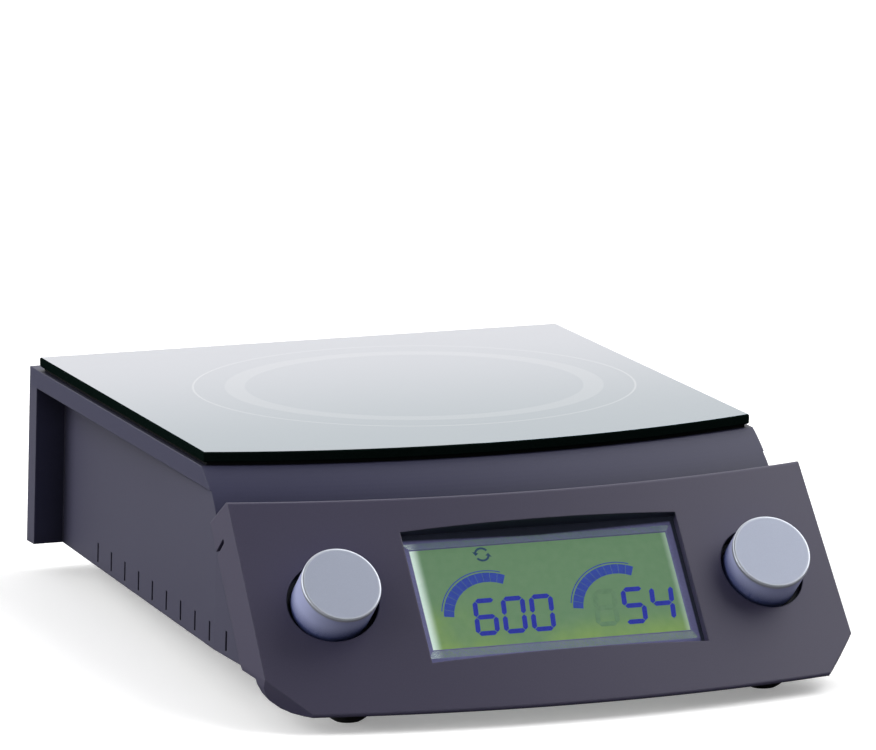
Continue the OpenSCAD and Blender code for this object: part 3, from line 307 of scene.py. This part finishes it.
def knobFinish():
    s = {"face": (0.35, 0.38, 0.472), "side": (0.5, 0.54, 0.82), "paintedRimHighlight": (0.52, 0.55, 0.62), "rough": 0.3,
         "rim": 0.0042, "inner": 0.0139, "outer": 0.0147, "corner": 0.008}
    mat, tree, out = newMaterial("knobAluminium")
    shader = tree.nodes.new("ShaderNodeBsdfPrincipled")
    vector = objectCoords(tree)
    fine = noise(tree, vector, 2600, 2.0)
    height = along(tree, vector, normal, leftKnob)
    low = softSpan(tree, height, s["rim"] + 0.0004, s["rim"] - 0.0004)
    reach = fromKnob(tree, along(tree, vector, (1, 0, 0), crown), along(tree, vector, upSlope, crown))
    rim = softSpan(tree, reach, s["inner"], s["outer"])
    grain = ramp(tree, fine, [(0.3, (0.95, 0.95, 0.95)), (0.7, (1, 1, 1))])
    # painted shade: the knob darkens to navy in corners, near the fascia
    paintedShade = cornerShade(tree, s["corner"], [(0.5, (0.22, 0.25, 0.42)), (0.95, (1, 1, 1))])
    # painted highlight: the rim band is painted lighter than the face
    colour = blend(tree, low, blend(tree, rim, s["face"], s["paintedRimHighlight"]), s["side"])
    colour = blend(tree, 1.0, colour, paintedShade, "MULTIPLY")
    tree.links.new(blend(tree, 1.0, colour, grain, "MULTIPLY"), shader.inputs["Base Color"])
    tree.links.new(bump(tree, fine, 0.2, 0.00001), shader.inputs["Normal"])
    metal = valueNode(tree, "SUBTRACT", 0.6, valueNode(tree, "MULTIPLY", low, 0.45))
    tree.links.new(metal, shader.inputs["Metallic"])
    shader.inputs["Roughness"].default_value = s["rough"]
    tree.links.new(shader.outputs["BSDF"], out.inputs["Surface"])
    return mat


def ceramicFinish():
    s = {"thinRing": 0.0875, "thin": 0.0004, "band": 0.071, "bandHalf": 0.004,
         "front": (0.28, 0.34, 0.386), "back": (0.545, 0.56, 0.62)}
    low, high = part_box("heater_ring")
    glassLow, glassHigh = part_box("glass_plate")
    mat, tree, out = newMaterial("ceramicGlass")
    link = tree.links.new
    vector = objectCoords(tree)
    dx = along(tree, vector, (1, 0, 0), (low + high) / 2)
    dy = along(tree, vector, (0, 1, 0), (low + high) / 2)
    radius = distance(tree, dx, dy)
    isTop = valueNode(tree, "GREATER_THAN", along(tree, vector, (0, 0, 1), glassHigh), -0.00005)
    thin = within(tree, valueNode(tree, "SUBTRACT", radius, s["thinRing"]), s["thin"])
    band = within(tree, valueNode(tree, "SUBTRACT", radius, s["band"]), s["bandHalf"])
    faint = [valueNode(tree, "MULTIPLY", *pair) for pair in ((thin, 0.24), (band, 0.11))]
    rings = valueNode(tree, "MAXIMUM", *faint)
    speck = noise(tree, vector, 1400, 2.0)
    body = tree.nodes.new("ShaderNodeBsdfPrincipled")
    link(ramp(tree, speck, [(0.3, (0.002, 0.005, 0.004)), (0.75, (0.004, 0.008, 0.007))]), body.inputs["Base Color"])
    body.inputs["Roughness"].default_value = 0.35
    body.inputs["Specular IOR Level"].default_value = 0.0
    sheen = tree.nodes.new("ShaderNodeBsdfPrincipled")
    # painted reflection: the sheen's colour fades from darker at the front to lighter at the back
    depth = softSpan(tree, along(tree, vector, (0, 1, 0), glassLow), 0.0, glassHigh.y - glassLow.y)
    paintedReflectionFade = blend(tree, depth, s["front"], s["back"])
    link(blend(tree, rings, paintedReflectionFade, (0.97, 0.97, 0.97)), sheen.inputs["Base Color"])
    sheen.inputs["Metallic"].default_value = 0.8
    sheen.inputs["Roughness"].default_value = 0.07
    mix = tree.nodes.new("ShaderNodeMixShader")
    link(isTop, mix.inputs["Fac"])
    link(body.outputs["BSDF"], mix.inputs[1])
    link(sheen.outputs["BSDF"], mix.inputs[2])
    link(mix.outputs["Shader"], out.inputs["Surface"])
    return mat


def paneFinish():
    mat, tree, out = newMaterial("clearPane")
    link = tree.links.new
    clear = tree.nodes.new("ShaderNodeBsdfTransparent")
    gloss = tree.nodes.new("ShaderNodeBsdfGlossy")
    gloss.inputs["Roughness"].default_value = 0.05
    fine = noise(tree, objectCoords(tree), 300, 2.0)
    link(ramp(tree, fine, [(0.3, (0.96, 0.98, 0.97)), (0.7, (1, 1, 1))]), clear.inputs["Color"])
    mix = tree.nodes.new("ShaderNodeMixShader")
    mix.inputs["Fac"].default_value = 0.015
    link(clear.outputs["BSDF"], mix.inputs[1])
    link(gloss.outputs["BSDF"], mix.inputs[2])
    link(mix.outputs["Shader"], out.inputs["Surface"])
    return mat


def maskFinish():
    s = {"colour": (0.142, 0.14, 0.285), "wallShadow": (0.022, 0.025, 0.04), "side": 0.0541, "top": 0.0249, "glow": 0.3}
    mat, tree, out = newMaterial("displayMask")
    link = tree.links.new
    vector = objectCoords(tree)
    across = along(tree, vector, (1, 0, 0), crown)
    slope = along(tree, vector, upSlope, crown)
    # painted shadow: the top margin, with its curved edge, and the right margin are painted dark as the window walls'
    # shadow
    rise = valueNode(tree, "ADD", slope, valueNode(tree, "MULTIPLY", valueNode(tree, "ABSOLUTE", across), -0.03))
    top = softSpan(tree, rise, s["top"] - 0.0006, s["top"] + 0.0004)
    side = softSpan(tree, across, s["side"] - 0.0003, s["side"] + 0.0003)
    fine = noise(tree, vector, 900, 2.0)
    printed = ramp(tree, fine, [(0.3, shade(s["colour"], 0.95)), (0.7, shade(s["colour"], 1.05))])
    paint = blend(tree, valueNode(tree, "MAXIMUM", top, side), printed, s["wallShadow"])
    shader = tree.nodes.new("ShaderNodeBsdfPrincipled")
    link(paint, shader.inputs["Base Color"])
    link(paint, shader.inputs["Emission Color"])
    # painted light: the mask glows faintly in its own colour, which lightens it where the window's walls shade it
    shader.inputs["Emission Strength"].default_value = s["glow"]
    shader.inputs["Roughness"].default_value = 0.5
    shader.inputs["Specular IOR Level"].default_value = 0.1
    link(shader.outputs["BSDF"], out.inputs["Surface"])
    return mat


def cellFinish():
    s = {"green": (0.15, 0.275, 0.15), "yellow": (0.24, 0.38, 0.11), "pale": (0.78, 0.95, 0.86), "light": 0.75}
    mat, tree, out = newMaterial("litCell")
    link = tree.links.new
    vector = objectCoords(tree)
    across = along(tree, vector, (1, 0, 0), crown)
    slope = along(tree, vector, upSlope, crown)
    soft = noise(tree, vector, 40, 3.0)
    corner = valueNode(tree, "MULTIPLY", softSpan(tree, across, -0.02, -0.05), softSpan(tree, slope, 0.008, -0.01))
    warm = valueNode(tree, "MAXIMUM", softSpan(tree, slope, -0.008, -0.022), valueNode(tree, "MULTIPLY", corner, 0.7))
    warm = valueNode(tree, "MULTIPLY", warm, softSpan(tree, soft, 0.25, 0.65))
    right = valueNode(tree, "MULTIPLY", softSpan(tree, across, 0.049, 0.0515), 0.3)
    edges = valueNode(tree, "MAXIMUM", softSpan(tree, across, -0.0468, -0.051), right)
    glow = blend(tree, warm, s["green"], s["yellow"])
    glow = blend(tree, edges, glow, s["pale"])
    shader = tree.nodes.new("ShaderNodeBsdfPrincipled")
    link(blend(tree, 1.0, glow, (0.12, 0.12, 0.12), "MULTIPLY"), shader.inputs["Base Color"])
    link(glow, shader.inputs["Emission Color"])
    shader.inputs["Emission Strength"].default_value = s["light"]
    shader.inputs["Roughness"].default_value = 0.5
    shader.inputs["Specular IOR Level"].default_value = 0.1
    link(shader.outputs["BSDF"], out.inputs["Surface"])
    return mat


# Ink of the cell, lit from behind
def litInk(name, colour):
    mat, tree, out = newMaterial(name)
    shader = tree.nodes.new("ShaderNodeBsdfPrincipled")
    fine = noise(tree, objectCoords(tree), 500, 2.0)
    glow = ramp(tree, fine, [(0.3, shade(colour, 0.93)), (0.7, shade(colour, 1.07))])
    tree.links.new(blend(tree, 1.0, glow, (0.2, 0.2, 0.2), "MULTIPLY"), shader.inputs["Base Color"])
    tree.links.new(glow, shader.inputs["Emission Color"])
    shader.inputs["Emission Strength"].default_value = 0.85
    shader.inputs["Specular IOR Level"].default_value = 0.0
    tree.links.new(shader.outputs["BSDF"], out.inputs["Surface"])
    return mat


# the third value is how dark the painted corner shade gets; the fourth is the top of the band that gets a painted
# shadow under the plate
finishes["shell"] = shellFinish("housingPlastic", (0.0525, 0.0512, 0.0885), 0.2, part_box("housing")[1].z - 0.0075)
finishes["fascia"] = shellFinish("fasciaPlastic", (0.0604, 0.0551, 0.0938), 0.8)
finishes["knob"] = knobFinish()
finishes["ceramic"] = ceramicFinish()
finishes["pane"] = paneFinish()
finishes["mask"] = maskFinish()
finishes["cell"] = cellFinish()
finishes["segment"] = litInk("segmentInk", (0.028, 0.038, 0.33))
finishes["gaugeInk"] = litInk("gaugeInk", (0.038, 0.066, 0.33))
finishes["faintInk"] = litInk("faintInk", (0.03, 0.062, 0.12))
finishes["ghostInk"] = litInk("ghostInk", (0.125, 0.222, 0.13))

slotOf = {p["node"]: p["material_slot"] for p in frame["record"]["subparts"]}
for name, obj in nodes.items():
    obj.data.materials.clear()
    obj.data.materials.append(finishes["fascia" if name == "fascia" else slotOf[name]])
    smooth(obj, 25)
print("materials set on", len(nodes), "nodes")


def finishPiece(obj, body, slot, replaced=()):
    obj.data.materials.clear()
    obj.data.materials.append(finishes[slot])
    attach(obj, body)
    if replaced:
        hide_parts(*replaced)
    return obj


# Knobs: a turned cap with a rounded rim and a hollow underside
def knobPiece(name, body, node, joint):
    s = {"radius": 0.0153, "face": 0.0057, "foot": -0.013, "rim": 0.0017, "wall": 0.0016, "roof": 0.003, "sides": 128}
    bpy.ops.mesh.primitive_cylinder_add(vertices=s["sides"], radius=s["radius"], depth=s["face"] - s["foot"])
    obj = bpy.context.object
    obj.name = name
    activate(obj)
    bpy.ops.object.mode_set(mode="EDIT")
    bpy.ops.mesh.select_all(action="DESELECT")
    bpy.ops.object.mode_set(mode="OBJECT")
    low = min(obj.data.polygons, key=lambda p: p.center.z)
    low.select = True
    bpy.ops.object.mode_set(mode="EDIT")
    bpy.ops.mesh.select_mode(type="FACE")
    bpy.ops.mesh.inset(thickness=s["wall"])
    bpy.ops.mesh.extrude_region_move(TRANSFORM_OT_translate={"value": (0, 0, s["face"] - s["foot"] - s["roof"])})
    bpy.ops.object.mode_set(mode="OBJECT")
    bevelled(obj, s["rim"], 6, 60)
    place = Vector(joints[joint]["pos_m"])
    middle = (s["face"] + s["foot"]) / 2
    turnTo = Matrix((Vector((1, 0, 0)), upSlope, normal)).transposed().to_4x4()
    settle(obj, Matrix.Translation(place + normal * middle) @ turnTo)
    smooth(obj, 40)
    mod = obj.modifiers.new("flat", "WEIGHTED_NORMAL")
    mod.keep_sharp = True
    applyAll(obj)
    return finishPiece(obj, body, "knob", (node,))


knobPiece("temperatureCap", "temperature_knob", "temperature_knob", "temperature_knob_turn")
knobPiece("timerCap", "timer_knob", "timer_knob", "timer_knob_turn")
print("knobs built")


# Display figures: flat outlines in mm, given a little thickness, in the fascia's frame
ink = {"plane": -0.00897, "thick": 0.00012, "slant": 0.115, "left": (-32.0, -20.8, -9.6), "right": (27.2, 38.6),
       "unlit": 15.9, "leftGauge": (-24.0, -8.7), "rightGauge": (27.3, -9.3), "mark": (-23.0, 18.9)}


def inkPiece(name, outlines, slot):
    verts, faces = [], []
    for outline in outlines:
        first = len(verts)
        verts += [(x / 1000, y / 1000, ink["plane"]) for x, y in outline]
        faces.append(range(first, len(verts)))
    mesh = bpy.data.meshes.new(name)
    mesh.from_pydata(verts, [], [list(f) for f in faces])
    obj = bpy.data.objects.new(name, mesh)
    scene.collection.objects.link(obj)
    mod = obj.modifiers.new("thick", "SOLIDIFY")
    mod.thickness = ink["thick"]
    mod.offset = 1
    applyAll(obj)
    activate(obj)
    bpy.ops.object.mode_set(mode="EDIT")
    bpy.ops.mesh.select_all(action="SELECT")
    bpy.ops.mesh.normals_make_consistent(inside=False)
    bpy.ops.object.mode_set(mode="OBJECT")
    settle(obj, toFascia)
    return finishPiece(obj, "chassis", slot)


def leaned(points):
    return [(x + (y + 14.5) * ink["slant"], y) for x, y in points]


# One seven-part figure, with only the named parts
def digit(x, lit):
    s = {"width": 7.6, "low": -15.2, "high": 0.4, "stroke": 1.9, "gap": 0.18}
    h, gap = s["stroke"] / 2, s["gap"]
    low, high, far = s["low"] + h, s["high"] - h, x + s["width"]
    mid = (low + high) / 2

    def bar(y):
        x0, x1 = x + gap, far - gap
        return [(x0 + h, y - h), (x1 - h, y - h), (x1, y), (x1 - h, y + h), (x0 + h, y + h), (x0, y)]

    def post(px, y0, y1):
        y0, y1 = y0 + gap, y1 - gap
        return [(px, y0), (px + h, y0 + h), (px + h, y1 - h), (px, y1), (px - h, y1 - h), (px - h, y0 + h)]

    shapes = {"a": bar(high), "g": bar(mid), "d": bar(low), "f": post(x, mid, high), "b": post(far, mid, high),
              "e": post(x, low, mid), "c": post(far, low, mid)}
    return [leaned(shapes[k]) for k in lit]


def arcBand(cx, cy, r0, r1, a0, a1, steps):
    angles = [math.radians(a0 + (a1 - a0) * i / steps) for i in range(steps + 1)]
    outer = [(cx + r1 * math.cos(a), cy + r1 * math.sin(a)) for a in angles]
    inner = [(cx + r0 * math.cos(a), cy + r0 * math.sin(a)) for a in reversed(angles)]
    return outer + inner


def gauge(cx, cy):
    s = {"inner": 15.9, "outer": 19.9, "line": 20.5, "lineOut": 20.9, "from": 172, "to": 66, "bars": 12, "gap": 0.35}
    step = (s["to"] - s["from"]) / s["bars"]
    starts = [s["from"] + i * step for i in range(s["bars"])]
    bars = [arcBand(cx, cy, s["inner"], s["outer"], a, a + step + s["gap"], 3) for a in starts]
    return bars + [arcBand(cx, cy, s["line"], s["lineOut"], s["from"] - 6, s["to"] + 6, 24)]


def turningSign(cx, cy):
    s = {"inner": 2.2, "outer": 3.0, "sweep": 125, "head": 30, "headIn": 1.4, "headOut": 3.8}

    def polar(r, degrees):
        a = math.radians(degrees)
        return cx + r * math.cos(a), cy + r * math.sin(a)

    shapes = []
    for start in (35, 215):
        end = start + s["sweep"]
        tip = polar((s["headIn"] + s["headOut"]) / 2, end + s["head"])
        shapes.append(arcBand(cx, cy, s["inner"], s["outer"], start, end, 10))
        shapes.append([polar(s["headIn"], end), polar(s["headOut"], end), tip])
    return shapes


def number(places, figures):
    return [part for x, lit in zip(places, figures) for part in digit(x, lit)]


inkPiece("temperatureFigures", number(ink["left"], ("afgedc", "abcdef", "abcdef")), "segment")
inkPiece("timerFigures", number(ink["right"], ("afgcd", "fgbc")), "segment")
inkPiece("temperatureGauge", gauge(*ink["leftGauge"]), "gaugeInk")
inkPiece("timerGauge", gauge(*ink["rightGauge"]), "gaugeInk")
inkPiece("turningMark", turningSign(*ink["mark"]), "faintInk")
inkPiece("unlitFigure", digit(ink["unlit"], "abcdefg"), "ghostInk")
print("display figures built")


# Camera
camera = {"place": (-1.016251, -2.890181, 0.662068), "lens": 328.767,
          "right": (0.9428063, -0.3333162, -0.004081), "up": (0.0638514, 0.1685647, 0.9836203),
          "back": (-0.3271687, -0.927624, 0.1802066)}
bpy.ops.object.camera_add()
cam = bpy.context.object
cam.data.lens = camera["lens"]
cam.data.clip_end = 50
turn = Matrix((Vector(camera["right"]), Vector(camera["up"]), Vector(camera["back"]))).transposed().to_4x4()
cam.matrix_world = Matrix.Translation(Vector(camera["place"])) @ turn
scene.camera = cam

# Floor, light and background; a lamp has azimuth from the front to the right, elevation, spread and power
studio = {"floor": 12.0, "paper": 0.93, "shaded": 0.2, "glow": 0.28, "front": 0.03, "back": 1.0,
          "lamps": {"rightLamp": (90, 45, 58, 2.35), "rightLowLamp": (70, 18, 70, 0.35),
                    "rightFrontLamp": (45, 45, 60, 0.18), "leftFrontLamp": (-52, 9, 70, 0.85),
                    "leftLamp": (-108, 16, 80, 2.6), "backLamp": (180, 48, 70, 0.65)}}


# Paper that looks white and throws little light back on the part
def floorFinish():
    mat, tree, out = newMaterial("floorPaper")
    link = tree.links.new
    fine = noise(tree, objectCoords(tree), 40, 2.0)
    path = tree.nodes.new("ShaderNodeLightPath")
    paper = ramp(tree, fine, [(0.3, (studio["paper"] - 0.01,) * 3), (0.7, (studio["paper"] + 0.01,) * 3)])
    shader = tree.nodes.new("ShaderNodeBsdfPrincipled")
    link(blend(tree, path.outputs["Is Camera Ray"], (studio["shaded"],) * 3, paper), shader.inputs["Base Color"])
    link(valueNode(tree, "MULTIPLY", path.outputs["Is Camera Ray"], studio["glow"]), shader.inputs["Emission Strength"])
    shader.inputs["Emission Color"].default_value = (1, 1, 1, 1)
    shader.inputs["Roughness"].default_value = 0.9
    shader.inputs["Specular IOR Level"].default_value = 0.0
    link(shader.outputs["BSDF"], out.inputs["Surface"])
    return mat


bpy.ops.mesh.primitive_plane_add(size=studio["floor"])
floor = bpy.context.object
floor.name = "studioFloor"
floor.data.materials.append(floorFinish())


def softLamp(name, azimuth, elevation, spread, power):
    bpy.ops.object.light_add(type="SUN")
    lamp = bpy.context.object
    lamp.name = name
    lamp.data.angle = math.radians(spread)
    lamp.data.energy = power
    az, el = math.radians(azimuth), math.radians(elevation)
    towards = Vector((math.sin(az) * math.cos(el), -math.cos(az) * math.cos(el), math.sin(el)))
    lamp.rotation_mode = "QUATERNION"
    lamp.rotation_quaternion = (-towards).to_track_quat("-Z", "Y")


for name, setting in studio["lamps"].items():
    softLamp(name, *setting)

world = bpy.data.worlds.new("studioWorld")
scene.world = world
world.use_nodes = True
tree = world.node_tree
tree.nodes.clear()
out = tree.nodes.new("ShaderNodeOutputWorld")
path = tree.nodes.new("ShaderNodeLightPath")
seen = tree.nodes.new("ShaderNodeBackground")
seen.inputs["Color"].default_value = (1, 1, 1, 1)
around = tree.nodes.new("ShaderNodeBackground")
toward = tree.nodes.new("ShaderNodeTexCoord")
split = tree.nodes.new("ShaderNodeSeparateXYZ")
tree.links.new(toward.outputs["Generated"], split.inputs["Vector"])
rear = softSpan(tree, split.outputs["Y"], 0.1, 0.6)
tree.links.new(blend(tree, rear, (studio["front"],) * 3, (studio["back"],) * 3), around.inputs["Color"])
mix = tree.nodes.new("ShaderNodeMixShader")
tree.links.new(path.outputs["Is Camera Ray"], mix.inputs["Fac"])
tree.links.new(around.outputs["Background"], mix.inputs[1])
tree.links.new(seen.outputs["Background"], mix.inputs[2])
tree.links.new(mix.outputs["Shader"], out.inputs["Surface"])
scene.view_settings.view_transform = "Standard"
print("camera, floor and light set")
